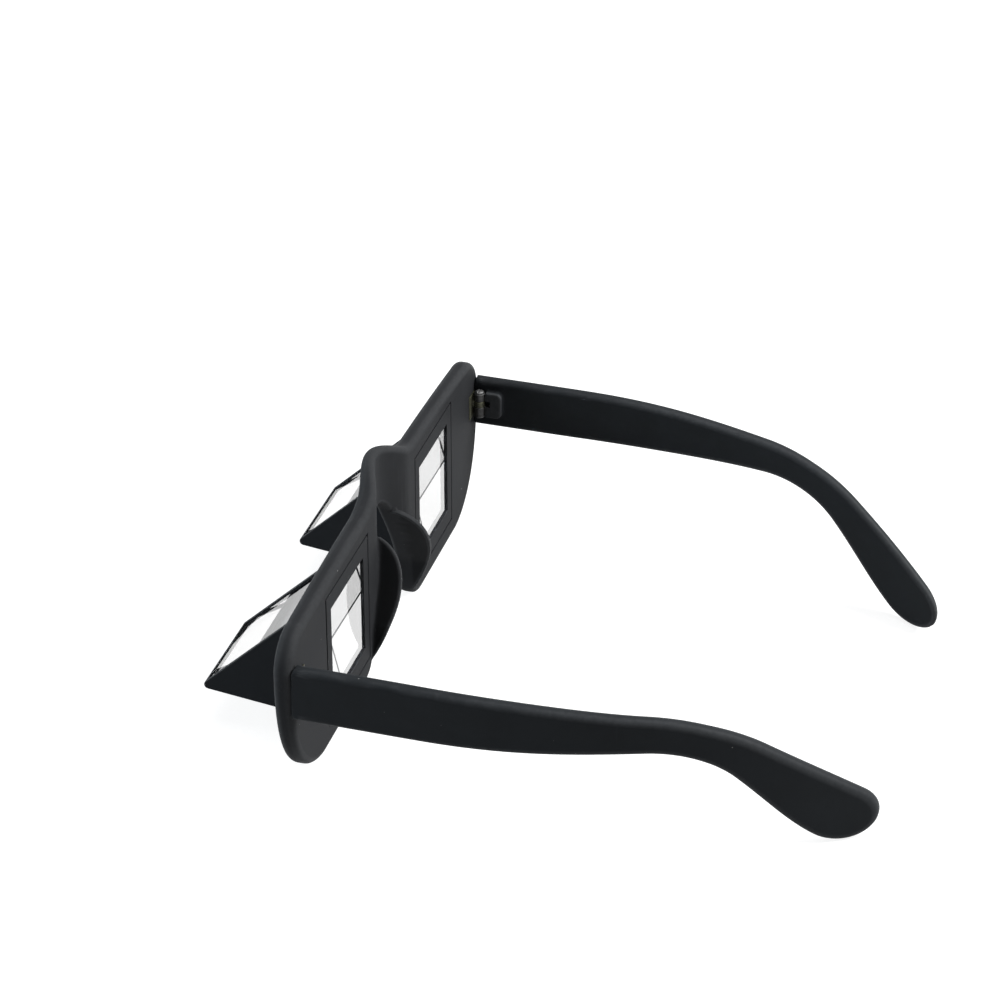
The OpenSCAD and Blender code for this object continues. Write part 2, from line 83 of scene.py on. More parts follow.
HALF_W = FRAME_W / 2
PRISM_X = PUPIL_D / 2
BEZEL_W, BEZEL_H = EYE_W + 2 * BEZEL_SIDE, EYE_H + 2 * BEZEL_ENDS
TEMPLE_OUT_X = HALF_W - SIDE_INSET
TEMPLE_IN_X = TEMPLE_OUT_X - TEMPLE_T
HINGE_X = TEMPLE_IN_X - KNUCKLE_R - KNUCKLE_GAP
HINGE_H = KNUCKLE_LOW_H + KNUCKLE_MID_H + KNUCKLE_TOP_H + 2 * KNUCKLE_GAP
HINGE_LOW = TEMPLE_Z + HINGE_LIFT - HINGE_H / 2
MID_LOW = HINGE_LOW + KNUCKLE_LOW_H + KNUCKLE_GAP
TOP_LOW = MID_LOW + KNUCKLE_MID_H + KNUCKLE_GAP
BOSS_Y = HINGE_Y + KNUCKLE_R + BARREL_GAP
ARM_X = HINGE_X + KNUCKLE_R - ARM_INSET - ARM_T
ARM_LOW, ARM_TOP = HINGE_LOW + ARM_MARGIN, HINGE_LOW + HINGE_H - ARM_MARGIN
LEAF_H = HINGE_H - LEAF_TOP_GAP
TIP_Y, TIP_Z = TIP_R - HOUSING_REACH, -TIP_DROP
EDGE_RISE = (
    GLASS_EDGE_H
    + MIRROR_T
    - (TIP_R - GLASS_RECESS) / math.cos(WINDOW_ANGLE)
    - (TIP_R - FLOOR_T) / math.cos(FLOOR_ANGLE)
)
GLASS_FRONT = TIP_Y + EDGE_RISE / (math.tan(WINDOW_ANGLE) + math.tan(FLOOR_ANGLE))
FLANGE_REAR = -BEZEL_T - FLANGE_T
CAVITY_HALF = HOUSING_W / 2 - WALL_T
GLASS_HALF = CAVITY_HALF - GLASS_GAP

# Sizes of this script alone: details of the looks
GROOVE = 0.35
CHAMFER = 0.13
HOUSING_EDGE_R, BEZEL_EDGE_R = 0.3, 0.12
FILM, SHEET_LIFT = 0.01, 0.02
FOOT_PULL = 1.2
NOSE_EDGE_SHARE, NOSE_EDGE_X, NOSE_EDGE_FADE = 0.5, 21, 6
PAD_ROOT_Y, PAD_EXTRA_T = -4, 0.1
PAD_RIM = [(0, -0.2), (0.07, 0.95), (0.38, 1.9), (1, -0.25)]
PADDLE_TOP_R, PADDLE_TOP_L, PADDLE_TOP_POWER = 6.15, 8.0, 0.65
PADDLE_LOW_R, PADDLE_LOW_L, PADDLE_LOW_POWER = 7.8, 9.8, 1.47
PADDLE_TURN, WAIST_POWER, END_FIT_L = math.radians(84), 2.93, 3
UNMARKED_END, SEAM_MARGIN = 1.2, 0.9
KNUCKLE_CHAMFER, WEB_ROOT, FINGER_ROOT, FITTING_EDGE_R = 0.12, 0.2, 0.1, 0.25
SCREW_CHAMFER, HEAD_LIFT, HEAD_RIM_H, HEAD_CHAMFER = 0.15, 0.02, 0.12, 0.1
HEAD_SIDE_SHARE, HEAD_FLAT_SHARE = 0.45, 0.35
VOXEL, FINE_VOXEL = 0.25, 0.07
SHARP = math.radians(32)

# Counts of points along the outlines, and at which of them the pads' path starts
CROWN_POINTS, SIDE_POINTS, FOOT_POINTS, RUN_POINTS, SWEEP_POINTS, CORNER_POINTS = 17, 20, 24, 16, 72, 32
PAD_START, PAD_RINGS, RIM_POINTS = 8, 69, 61
BAR_POINTS, PADDLE_POINTS, TIP_POINTS, DOME_POINTS, ROUND_STEPS = 171, 36, 15, 7, 8


# Camera, as fitted to the photo
CAMERA_RIGHT = Vector((-0.2726389, 0.9621162, 0.0007032))
CAMERA_UP = Vector((-0.4799849, -0.1366487, 0.8665689))
CAMERA_BACK = Vector((0.8338361, 0.2359228, 0.499057))
CAMERA_PLACE = Vector((616.875, 202.193, 389.867)) * MM
CAMERA_LENS = 109.466
CAMERA_SENSOR = 36

camera = bpy.data.objects.new("camera", bpy.data.cameras.new("camera"))
scene.collection.objects.link(camera)
scene.camera = camera
camera.data.sensor_width = CAMERA_SENSOR
camera.data.lens = CAMERA_LENS
turn = Matrix((CAMERA_RIGHT, CAMERA_UP, CAMERA_BACK)).transposed().to_4x4()
camera.matrix_world = STAND_TURN @ Matrix.Translation(CAMERA_PLACE) @ turn
scene.view_settings.view_transform = "Standard"


# Shader helpers
class Shader:
    """A material's or the world's nodes, built one by one."""

    def __init__(self, owner):
        owner.use_nodes = True
        self.tree = owner.node_tree
        self.tree.nodes.clear()

    def add(self, kind, inputs=None, **settings):
        made = self.tree.nodes.new(kind)
        for key, value in settings.items():
            setattr(made, key, value)
        for key, value in (inputs or {}).items():
            socket = made.inputs[key]
            if isinstance(value, bpy.types.NodeSocket):
                self.tree.links.new(value, socket)
            else:
                socket.default_value = value
        return made

    def math(self, operation, a, b=0.0):
        return self.add("ShaderNodeMath", {0: a, 1: b}, operation=operation).outputs[0]

    def noise(self, place, scale, detail=2.0, roughness=0.5, distortion=0.0):
        levels = {"Scale": scale, "Detail": detail, "Roughness": roughness, "Distortion": distortion}
        return self.add("ShaderNodeTexNoise", {"Vector": place, **levels}).outputs["Fac"]

    def stored(self, name):
        """A number that the mesh carries under that name."""
        return self.add("ShaderNodeAttribute", attribute_name=name).outputs["Fac"]

    def spread(self, value, low, high, to_low=0.0, to_high=1.0):
        made = self.add(
            "ShaderNodeMapRange",
            {"Value": value, "From Min": low, "From Max": high, "To Min": to_low, "To Max": to_high},
        )
        return made.outputs["Result"]

    def mix(self, factor, a, b):
        made = self.add("ShaderNodeMix", {"Factor": factor}, data_type="RGBA")
        for socket, value in ((made.inputs[6], a), (made.inputs[7], b)):
            if isinstance(value, bpy.types.NodeSocket):
                self.tree.links.new(value, socket)
            else:
                socket.default_value = (*value, 1)
        return made.outputs[2]

    def bump(self, height, distance, strength=1.0):
        levels = {"Height": height, "Distance": distance, "Strength": strength}
        return self.add("ShaderNodeBump", levels).outputs[0]

    def place(self, stretch=(1, 1, 1)):
        """The point on the piece in millimetres, stretched along its axes."""
        spot = self.add("ShaderNodeTexCoord").outputs["Object"]
        return self.add("ShaderNodeMapping", {"Vector": spot, "Scale": [s / MM for s in stretch]}).outputs[0]

    def seen_straight(self):
        """1 for camera, glossy and transmission rays, and 0 for the light that falls on things."""
        path = self.add("ShaderNodeLightPath").outputs
        first = self.math("MAXIMUM", path["Is Camera Ray"], path["Is Glossy Ray"])
        return self.math("MAXIMUM", first, path["Is Transmission Ray"])

    def principled(self, inputs):
        surface = self.add("ShaderNodeBsdfPrincipled", inputs)
        self.add("ShaderNodeOutputMaterial", {"Surface": surface.outputs[0]})


# Studio
AMBIENT = 0.10
LAMP_AIM = (0, 0, 0.03)
FLOOR_SIZE = 3.0
FLOOR_DROP = 0.0004
FLOOR_GLOW = 0.85
PAPER_DARK, PAPER_LIGHT = (0.38, 0.38, 0.38), (0.41, 0.41, 0.41)

world = bpy.data.worlds.new("studio")
scene.world = world
sky = Shader(world)
sky_level = sky.spread(sky.seen_straight(), 0, 1, AMBIENT, 1.0)
sky_light = sky.add("ShaderNodeBackground", {"Color": (1, 1, 1, 1), "Strength": sky_level})
sky.add("ShaderNodeOutputWorld", {"Surface": sky_light.outputs[0]})


def area_lamp(name, place, size, power, colour=(1, 1, 1)):
    data = bpy.data.lights.new(name, "AREA")
    data.shape = "SQUARE"
    data.size = size
    data.energy = power
    data.color = colour
    lamp = bpy.data.objects.new(name, data)
    scene.collection.objects.link(lamp)
    lamp.location = place
    lamp.rotation_euler = (Vector(LAMP_AIM) - Vector(place)).to_track_quat("-Z", "Y").to_euler()


area_lamp("key_softbox", (-0.25, 1.05, 1.0), 0.7, 27)
area_lamp("front_fill", (0.35, -1.0, 0.36), 0.5, 8, (0.84, 0.93, 1.0))
area_lamp("top_softbox", (-0.2, -0.2, 1.3), 0.8, 5)


def new_object(name, points, faces):
    mesh = bpy.data.meshes.new(name)
    mesh.from_pydata([tuple(p) for p in points], [], faces)
    mesh.update()
    made = bpy.data.objects.new(name, mesh)
    scene.collection.objects.link(made)
    return made


def make_floor():
    half = FLOOR_SIZE / 2
    corners = [(-half, -half), (half, -half), (half, half), (-half, half)]
    floor = new_object("floor", [(x, y, -FLOOR_DROP) for x, y in corners], [(0, 1, 2, 3)])
    material = bpy.data.materials.new("floor_paper")
    nodes = Shader(material)
    fibre = nodes.spread(nodes.noise(nodes.place(), 0.9, 4), 0.3, 0.7)
    paper = nodes.mix(fibre, PAPER_DARK, PAPER_LIGHT)
    bump = nodes.bump(fibre, 0.00005, 0.2)
    plain = nodes.add("ShaderNodeBsdfDiffuse", {"Color": paper, "Normal": bump})
    level = nodes.math("MULTIPLY", nodes.seen_straight(), FLOOR_GLOW)
    glow = nodes.add("ShaderNodeEmission", {"Color": (1, 1, 1, 1), "Strength": level})
    both = nodes.add("ShaderNodeAddShader", {0: plain.outputs[0], 1: glow.outputs[0]})
    nodes.add("ShaderNodeOutputMaterial", {"Surface": both.outputs[0]})
    floor.data.materials.append(material)


make_floor()


# Curves and steps
def smooth_step(t):
    t = np.clip(t, 0, 1)
    return t * t * (3 - 2 * t)


def ramp(value, start, end):
    """Goes smoothly from 0 to 1 while the value goes from start to end, whichever is larger."""
    return smooth_step((value - start) / (end - start))


def bump_at(x, width):
    x = np.asarray(x, float)
    return np.where(np.abs(x) < width / 2, 0.5 + 0.5 * np.cos(2 * math.pi * x / width), 0.0)


def bezier(points, t):
    """A curve from the first point to the fourth; the two between pull it towards them."""
    start, pull, push, end = np.asarray(points, float)
    t = np.asarray(t, float)[:, None]
    return (1 - t) ** 3 * start + 3 * (1 - t) ** 2 * t * pull + 3 * (1 - t) * t**2 * push + t**3 * end


def outline_normals(points, side):
    run = np.gradient(points, axis=0)
    run /= np.linalg.norm(run, axis=1)[:, None]
    return side * np.stack([-run[:, 1], run[:, 0]], axis=1)


# Mesh helpers, in millimetres
def outwards(obj):
    work = bmesh.new()
    work.from_mesh(obj.data)
    bmesh.ops.recalc_face_normals(work, faces=work.faces)
    work.to_mesh(obj.data)
    work.free()


def loft(name, loops, strips=False):
    """A closed solid through loops of equally many points, with flat ends, whole or in strips."""
    n = len(loops[0])
    points = [p for ring in loops for p in ring]
    faces = [
        (i * n + k, i * n + (k + 1) % n, (i + 1) * n + (k + 1) % n, (i + 1) * n + k)
        for i in range(len(loops) - 1)
        for k in range(n)
    ]
    last = (len(loops) - 1) * n
    if strips:
        for k in range(n // 2 - 1):
            faces.append((k, k + 1, n - 2 - k, n - 1 - k))
            faces.append(tuple(last + q for q in (n - 1 - k, n - 2 - k, k + 1, k)))
    else:
        faces.append(tuple(reversed(range(n))))
        faces.append(tuple(range(last, last + n)))
    made = new_object(name, points, faces)
    outwards(made)
    return made


def block(name, low, high):
    (x0, y0, z0), (x1, y1, z1) = low, high
    rings = [[(x0, y0, z), (x1, y0, z), (x1, y1, z), (x0, y1, z)] for z in (z0, z1)]
    return loft(name, rings)


def across(name, outline, x0, x1):
    """A solid whose outline lies in Y and Z, from x0 to x1."""
    return loft(name, [[(x, y, z) for y, z in outline] for x in (x0, x1)])


def upright(name, levels, sides=48):
    """A turned solid on the hinge's axis; levels are pairs of height and radius."""
    turns = [2 * math.pi * i / sides for i in range(sides)]
    rings = [[(HINGE_X + r * math.cos(a), HINGE_Y + r * math.sin(a), z) for a in turns] for z, r in levels]
    return loft(name, rings)


def mirror_x(obj, side):
    if SIDES[side] < 0:
        obj.data.transform(Matrix.Scale(-1, 4, (1, 0, 0)))
        obj.data.flip_normals()
    return obj


def drop(*objects):
    for obj in objects:
        mesh = obj.data
        bpy.data.objects.remove(obj)
        bpy.data.meshes.remove(mesh)


def bake(obj):
    """Makes the result of an object's modifiers its own mesh."""
    seen = obj.evaluated_get(bpy.context.evaluated_depsgraph_get())
    mesh = bpy.data.meshes.new_from_object(seen)
    obj.modifiers.clear()
    old = obj.data
    obj.data = mesh
    bpy.data.meshes.remove(old)


def combine(base, others, operation="UNION"):
    for other in others:
        step = base.modifiers.new("step", "BOOLEAN")
        step.operation, step.object, step.solver = operation, other, "MANIFOLD"
    bake(base)
    drop(*others)


def voxels(obj, size):
    """Rebuilds a mesh from small even squares."""
    step = obj.modifiers.new("voxels", "REMESH")
    step.mode, step.voxel_size, step.adaptivity = "VOXEL", size, 0
    bake(obj)


def thin(obj, share):
    """Takes out the vertices that the shape needs least."""
    step = obj.modifiers.new("thin", "DECIMATE")
    step.ratio = share
    bake(obj)


def points_of(obj):
    points = np.empty(len(obj.data.vertices) * 3)
    obj.data.vertices.foreach_get("co", points)
    return points.reshape(-1, 3)


def edges_of(obj):
    ends = np.empty(len(obj.data.edges) * 2, np.int64)
    obj.data.edges.foreach_get("vertices", ends)
    return ends.reshape(-1, 2)


def store(obj, name, values, domain="POINT"):
    """Keeps a number for each vertex or face, for the materials to read."""
    layer = obj.data.attributes.new(name, "FLOAT", domain)
    layer.data.foreach_set("value", np.asarray(values, np.float32))


def neighbour_sum(ends, values, count):
    """Sum over each vertex's neighbours of values given per edge end (a's side, b's side)."""
    to_a, to_b = values
    return np.stack(
        [
            np.bincount(ends[:, 0], to_a[:, k], count) + np.bincount(ends[:, 1], to_b[:, k], count)
            for k in range(to_a.shape[1])
        ],
        axis=1,
    )


def relax(obj, rounds, weights=None):
    """Moves each vertex halfway to its neighbours' mean, or less by its weight, a number of times."""
    points, ends = points_of(obj), edges_of(obj)
    count = len(points)
    valence = np.maximum(1, np.bincount(ends.ravel(), minlength=count))[:, None]
    share = 0.5 if weights is None else 0.5 * weights[:, None]
    for _ in range(rounds):
        mean = neighbour_sum(ends, (points[ends[:, 1]], points[ends[:, 0]]), count) / valence
        points = points + share * (mean - points)
    obj.data.vertices.foreach_set("co", points.ravel())
    obj.data.update()


def mark_edge_bulge(obj, radius, rounds=2, bare=None):
    """Stores how sharply each vertex bulges, against that edge radius, and returns it. This is the mask of
    rounded edges that the materials make paler, partly as wear and partly as a painted highlight.

    The numbers are evened out over some rounds, and are 0 where bare(points) says so.
    """
    points, ends = points_of(obj), edges_of(obj)
    count = len(points)
    normals = np.empty(count * 3)
    obj.data.vertices.foreach_get("normal", normals)
    normals = normals.reshape(-1, 3)
    run = points[ends[:, 1]] - points[ends[:, 0]]
    bulge = ((normals[ends[:, 1]] - normals[ends[:, 0]]) * run).sum(1) / np.maximum(1e-9, (run**2).sum(1))
    values = np.stack([bulge * radius, np.ones(len(ends))], axis=1)
    total = neighbour_sum(ends, (values, values), count)
    wear_and_highlight = total[:, 0] / np.maximum(1, total[:, 1])
    for _ in range(rounds):
        pair = np.stack([wear_and_highlight, np.ones(count)], axis=1)
        total = neighbour_sum(ends, (pair[ends[:, 1]], pair[ends[:, 0]]), count)
        wear_and_highlight = 0.5 * wear_and_highlight + 0.5 * total[:, 0] / np.maximum(1, total[:, 1])
    if bare:
        wear_and_highlight[bare(points)] = 0
    wear_and_highlight = np.clip(wear_and_highlight, 0, 1).astype(np.float32)
    store(obj, "wear_and_highlight", wear_and_highlight)
    return wear_and_highlight


def crisp_edges(obj, radius, wear_and_highlight=0.7):
    """Rounds a flat-sided piece's edges off and marks them for wear and a painted highlight."""
    step = obj.modifiers.new("edges", "BEVEL")
    step.width, step.segments = radius, 3
    step.limit_method, step.angle_limit = "ANGLE", math.radians(30)
    bake(obj)
    points = points_of(obj)
    narrow = []
    for face in obj.data.polygons:
        ring = points[list(face.vertices)]
        longest = np.linalg.norm(ring - np.roll(ring, 1, axis=0), axis=1).max()
        narrow.append(wear_and_highlight * (face.area < longest * radius))
    store(obj, "wear_and_highlight", narrow, "FACE")
    obj.modifiers.new("normals", "WEIGHTED_NORMAL").keep_sharp = True


def finish_piece(obj, body, node, material, smooth=True):
    """Sets a piece down in the part's frame, in place of a CAD node."""
    obj.data.transform(STAND)
    for polygon in obj.data.polygons:
        polygon.use_smooth = smooth
    if smooth:
        obj.data.set_sharp_from_angle(angle=SHARP)
    obj.data.materials.clear()
    obj.data.materials.append(material)
    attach(obj, body)
    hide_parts(node)


# Materials; noise scales are per millimetre
DUST = (0.3, 0.3, 0.3)


def plastic(name, colour, worn_and_highlit_edge, rough, shine, grain, streaks=0.0, dust=0.0, lining=None):
    """Moulded black plastic: fine grain, faint flow streaks, dust, and rounded edges rubbed smoother and
    made paler, the paler edges partly wear and partly a painted highlight.

    Nose pads are darker where the mesh marks them, as painted shade, and a lining shows inside a housing.
    """
    material = bpy.data.materials.new(name)
    nodes = Shader(material)
    spot = nodes.place()
    cloud = nodes.spread(nodes.noise(spot, 0.07, 4, 0.6, 0.4), 0.35, 0.65)
    fine = nodes.noise(spot, 2.6, 3, 0.65)
    coarse = nodes.noise(spot, 0.8, 2)
    # Rounded edges, in patches: rubbed smoother by wear, and paler partly from wear and partly as a painted
    # highlight.
    edge = nodes.spread(nodes.stored("wear_and_highlight"), 0.12, 0.55)
    rubbed_and_highlit = nodes.math("MULTIPLY", edge, nodes.spread(coarse, 0.3, 0.6, 0.75, 1.0))
    base = nodes.mix(cloud, [c * 0.88 for c in colour], [c * 1.12 for c in colour])
    flow = nodes.spread(nodes.noise(nodes.place((2.2, 0.6, 0.03)), 1.0, 2), 0.62, 0.72, 0.0, streaks)
    # Paler along flow streaks, and on rounded edges, where the pale colour is partly wear and partly a
    # painted highlight.
    pale = nodes.math("MAXIMUM", flow, nodes.math("MULTIPLY", rubbed_and_highlit, 0.75))
    base = nodes.mix(pale, base, worn_and_highlit_edge)
    speck = nodes.add("ShaderNodeTexVoronoi", {"Vector": spot, "Scale": 0.16, "Randomness": 1.0})
    near = nodes.spread(speck.outputs["Distance"], 0.035, 0.02)
    base = nodes.mix(nodes.math("MULTIPLY", near, dust), base, DUST)
    # Painted shade: the nose pads are darkened to half the colour.
    base = nodes.mix(nodes.stored("painted_pad_shade"), base, [c * 0.5 for c in colour])
    if lining:
        under_glass = nodes.spread(nodes.stored("sunk"), GLASS_RECESS, GLASS_RECESS + 0.06)
        base = nodes.mix(nodes.math("MULTIPLY", nodes.stored("lining"), under_glass), base, lining)
    gloss = nodes.spread(cloud, 0, 1, rough - 0.04, rough + 0.05)
    gloss = nodes.math("SUBTRACT", gloss, nodes.math("MULTIPLY", rubbed_and_highlit, 0.10))
    height = nodes.math("ADD", fine, nodes.math("MULTIPLY", coarse, 0.6))
    bump = nodes.bump(height, grain * MM)
    nodes.principled({"Base Color": base, "Roughness": gloss, "Specular IOR Level": shine, "Normal": bump})
    return material


def metal(name, colour, stain, rough, grain):
    """Small plated or brass fitting: dull, with stains in patches, fine rubbing marks, and rounded edges
    made paler, partly as wear and partly as a painted highlight.
    """
    material = bpy.data.materials.new(name)
    nodes = Shader(material)
    spot = nodes.place()
    cloud = nodes.spread(nodes.noise(spot, 0.9, 4, 0.6), 0.35, 0.65)
    lines = nodes.noise(nodes.place((1.0, 1.0, 9.0)), 1.6, 2)
    rubbed_and_highlit = nodes.spread(nodes.stored("wear_and_highlight"), 0.2, 0.7)
    base = nodes.mix(cloud, stain, colour)
    # Painted highlight on rounded edges, partly rubbed wear: the colour goes up to half way towards 2.2
    # times itself.
    base = nodes.mix(nodes.math("MULTIPLY", rubbed_and_highlit, 0.5), base, [c * 2.2 for c in colour])
    marks = nodes.math("ADD", nodes.math("MULTIPLY", cloud, 0.5), nodes.math("MULTIPLY", lines, 0.5))
    gloss = nodes.spread(marks, 0.2, 0.8, rough + 0.08, rough - 0.06)
    bump = nodes.bump(nodes.math("ADD", lines, cloud), grain * MM)
    nodes.principled({"Base Color": base, "Metallic": 0.6, "Roughness": gloss, "Normal": bump})
    return material


def polished(name, colour, metallic, transmission, ior, smear):
    """Optical glass or its mirror coating, with faint smears."""
    material = bpy.data.materials.new(name)
    nodes = Shader(material)
    cloud = nodes.spread(nodes.noise(nodes.place((1, 1, 0.6)), 0.25, 5, 0.6, 1.0), 0.45, 0.75)
    nodes.principled(
        {
            "Base Color": nodes.mix(cloud, colour, [c * 0.985 for c in colour]),
            "Metallic": metallic,
            "Roughness": nodes.math("MULTIPLY", cloud, smear),
            "IOR": ior,
            "Transmission Weight": transmission,
        }
    )
    return material


BLACK, SILVER_GREY = (0.0245, 0.0255, 0.0275), (0.7, 0.7, 0.7)
# Painted shade: the housings' and temples' black is the frame's black made darker.
HOUSING_SHADED_BLACK, TEMPLE_SHADED_BLACK = (0.0205, 0.0226, 0.0252), (0.0180, 0.0202, 0.0226)

# Each plastic's second colour is its rounded edges' colour, partly wear and partly painted highlight. The
# housing's much paler one paints the highlight along its window's rims.
FRAME_PLASTIC = plastic(
    "frame_plastic", BLACK, (0.048, 0.050, 0.053), 0.62, 0.03, 0.006, streaks=0.2, dust=0.8
)
HOUSING_PLASTIC = plastic(
    "housing_plastic", HOUSING_SHADED_BLACK, (0.115, 0.118, 0.122), 0.60, 0.04, 0.005, lining=SILVER_GREY
)
BEZEL_PLASTIC = plastic("bezel_plastic", BLACK, (0.055, 0.056, 0.059), 0.62, 0.03, 0.006, dust=0.5)
TEMPLE_PLASTIC = plastic("temple_plastic", TEMPLE_SHADED_BLACK, (0.060, 0.063, 0.067), 0.58, 0.05, 0.006, dust=0.5)
BRASS = metal("frame_hinge_metal", (0.066, 0.065, 0.042), (0.030, 0.030, 0.020), 0.50, 0.01)
NICKEL = metal("temple_hinge_metal", (0.050, 0.050, 0.050), (0.024, 0.024, 0.024), 0.50, 0.01)
STEEL = metal("screw_steel", (0.13, 0.13, 0.13), (0.06, 0.06, 0.06), 0.45, 0.006)
GLASS = polished("prism_glass", (1, 1, 1), 0.0, 1.0, 1.41, 0.03)
MIRROR = polished("prism_mirror", (0.93, 0.93, 0.93), 1.0, 0.0, 1.5, 0.05)


# Slabs with rounded edges
def rounded_slab(name, tops, bottoms, near, far, radius, swap, low_share=np.ones_like):
    """A slab between two outlines, as in the part's source; swap turns (u, depth, v) into X, Y, Z.

    Its lower edge is rounded by low_share(u) of the radius.
    """
    turns = np.linspace(0, math.pi / 2, ROUND_STEPS + 1)

    def rims(points, normals, radii):
        rows = []
        for a in turns[::-1]:
            inset = points - (radii * (1 - math.cos(a)))[:, None] * normals
            rows.append((inset[:, 0], near(inset[:, 0]) + radii * (1 - math.sin(a)), inset[:, 1]))
        for a in turns:
            inset = points - (radii * (1 - math.cos(a)))[:, None] * normals
            rows.append((inset[:, 0], far(inset[:, 0]) - radii * (1 - math.sin(a)), inset[:, 1]))
        return rows

    upper = rims(tops, outline_normals(tops, 1), np.full(len(tops), radius))
    lower = rims(bottoms, outline_normals(bottoms, -1), radius * low_share(bottoms[:, 0]))
    rows = upper + lower[::-1]
    rings = []
    for i in range(len(tops)):
        rings.append([swap(row[0][i], row[1][i], row[2][i]) for row in rows])
    return loft(name, rings, strips=True)


# Front frame
SHOULDER_X = NOSE_W / 2
FLARE = math.radians(NOSE_FLARE)
SHOULDER_DROP = SHOULDER_X / (NOSE_CROWN * math.tan(FLARE))
SHOULDER_Z = NOSE_TOP - SHOULDER_DROP


def top_z(x):
    return FRAME_TOP - TOP_FALL * (x / HALF_W) ** 2 + BRIDGE_RISE * bump_at(x, BRIDGE_W)


def plate_outlines():
    """Upper and lower outlines of the whole plate, point against point."""
    crown_x = np.linspace(0, SHOULDER_X, CROWN_POINTS)
    crown_z = NOSE_TOP - SHOULDER_DROP * (crown_x / SHOULDER_X) ** NOSE_CROWN
    flare = np.array([math.sin(FLARE), -math.cos(FLARE)])
    shoulder = np.array([SHOULDER_X, SHOULDER_Z])
    side = shoulder + np.linspace(0, FLARE_L, SIDE_POINTS + 1)[1:, None] * flare
    foot_x = PRISM_X - BEZEL_W / 2 + FOOT_W / 2
    end = side[-1]
    pull = (foot_x - FOOT_W - FOOT_PULL, -FRAME_BOTTOM)
    foot_curve = [end, end + FOOT_W / 2 * flare, pull, (foot_x, -FRAME_BOTTOM)]
    foot = bezier(foot_curve, np.linspace(0, 1, FOOT_POINTS + 1)[1:])
    sweep_x = HALF_W - SWEEP_W
    run_x = np.linspace(foot_x, sweep_x, RUN_POINTS + 1)[1:]
    run = np.stack([run_x, np.full(len(run_x), -float(FRAME_BOTTOM))], axis=1)
    sweep_curve = [(sweep_x, -FRAME_BOTTOM)] * 2 + [(HALF_W, -FRAME_BOTTOM), (HALF_W, SWEEP_TOP)]
    sweep = bezier(sweep_curve, np.linspace(0, 1, SWEEP_POINTS + 1)[1:])
    bottoms = np.concatenate([np.stack([crown_x, crown_z], axis=1), side, foot, run, sweep])

    corner_x = HALF_W - CORNER_W
    corner_z = top_z(corner_x) - CORNER_H
    lead = np.linspace(foot_x, corner_x, RUN_POINTS + SWEEP_POINTS - CORNER_POINTS + 1)[1:]
    above_foot = np.linspace(end[0], foot_x, FOOT_POINTS + 1)[1:]
    tops_x = np.concatenate([crown_x, side[:, 0], above_foot, lead])
    turns = np.radians(CORNER_TURN) * np.arange(1, CORNER_POINTS + 1) / CORNER_POINTS
    corner = np.stack([corner_x + CORNER_W * np.sin(turns), corner_z + CORNER_H * np.cos(turns)], axis=1)
    tops = np.concatenate([np.stack([tops_x, top_z(tops_x)], axis=1), corner])

    def whole(half):
        return np.concatenate([(half * [-1, 1])[:0:-1], half])

    return whole(tops), whole(bottoms)


def plate_front(x):
    return -PLATE_T - (BRIDGE_ARCH - PLATE_T + BRIDGE_T) * bump_at(x, ARCH_W)


def plate_rear(x):
    return -BRIDGE_ARCH * bump_at(x, ARCH_W)


def nose_edge_share(x):
    """The lower edge is rounded less round the nose."""
    return 1 - NOSE_EDGE_SHARE * smooth_step((NOSE_EDGE_X - np.abs(x)) / NOSE_EDGE_FADE)


def pad_path():
    """The plate's inner edge from its crown to its foot, with the length along it from the shoulder."""
    bottoms = plate_outlines()[1]
    half = bottoms[len(bottoms) // 2 :]
    last = CROWN_POINTS + SIDE_POINTS + FOOT_POINTS
    path = half[PAD_START:last]
    away = outline_normals(half, -1)[PAD_START:last]
    run = np.concatenate([[0], np.cumsum(np.linalg.norm(np.diff(path, axis=0), axis=1))])
    return path, away, run - run[CROWN_POINTS - 1 - PAD_START]


def pad_height(along):
    """How far a pad reaches to the rear; PAD_RIM's points are shares of its length and depth."""
    rim = bezier(PAD_RIM, np.linspace(0, 1, RIM_POINTS)) * [PAD_L, PAD_D]
    return np.interp(along, rim[:, 0], rim[:, 1], left=rim[0, 1], right=rim[-1, 1])


def beside_pad(points):
    """How far each point lies from the plate's inner edge into the plate, and how far along that edge."""
    path, away, run = pad_path()
    spots = np.stack([np.abs(points[:, 0]), points[:, 2]], axis=1)
    nearest = np.argmin([((spots - p) ** 2).sum(1) for p in path], axis=0)
    return -((spots - path[nearest]) * away[nearest]).sum(1), run[nearest]


def nose_pad(side):
    """A thin sheet that follows the plate's inner edge down to its foot."""
    path, away, run = pad_path()
    rings = []
    for along in np.linspace(0, PAD_L, PAD_RINGS):
        edge = np.array([np.interp(along, run, path[:, k]) for k in (0, 1)])
        back = edge - (PAD_T + PAD_EXTRA_T) * np.array([np.interp(along, run, away[:, k]) for k in (0, 1)])
        top = float(pad_height(along))
        corners = ((edge, PAD_ROOT_Y), (edge, top), (back, top), (back, PAD_ROOT_Y))
        rings.append([(spot[0], y, spot[1]) for spot, y in corners])
    return mirror_x(loft("pad", rings), side)


def soften_pad_roots(plate):
    """Blends the pads into the plate's rear face, within some 3 mm of where they meet it."""
    points = points_of(plate)
    y = points[:, 1]
    out, along = beside_pad(points)
    near = ramp(y, 2.4, 0.6) * ramp(y, -1.4, -0.2)
    near *= ramp(out, -0.4, 0.4) * ramp(out, 2.9, 1.7)
    near *= ramp(pad_height(along), 1.0, 3.0)
    relax(plate, rounds=16, weights=near)


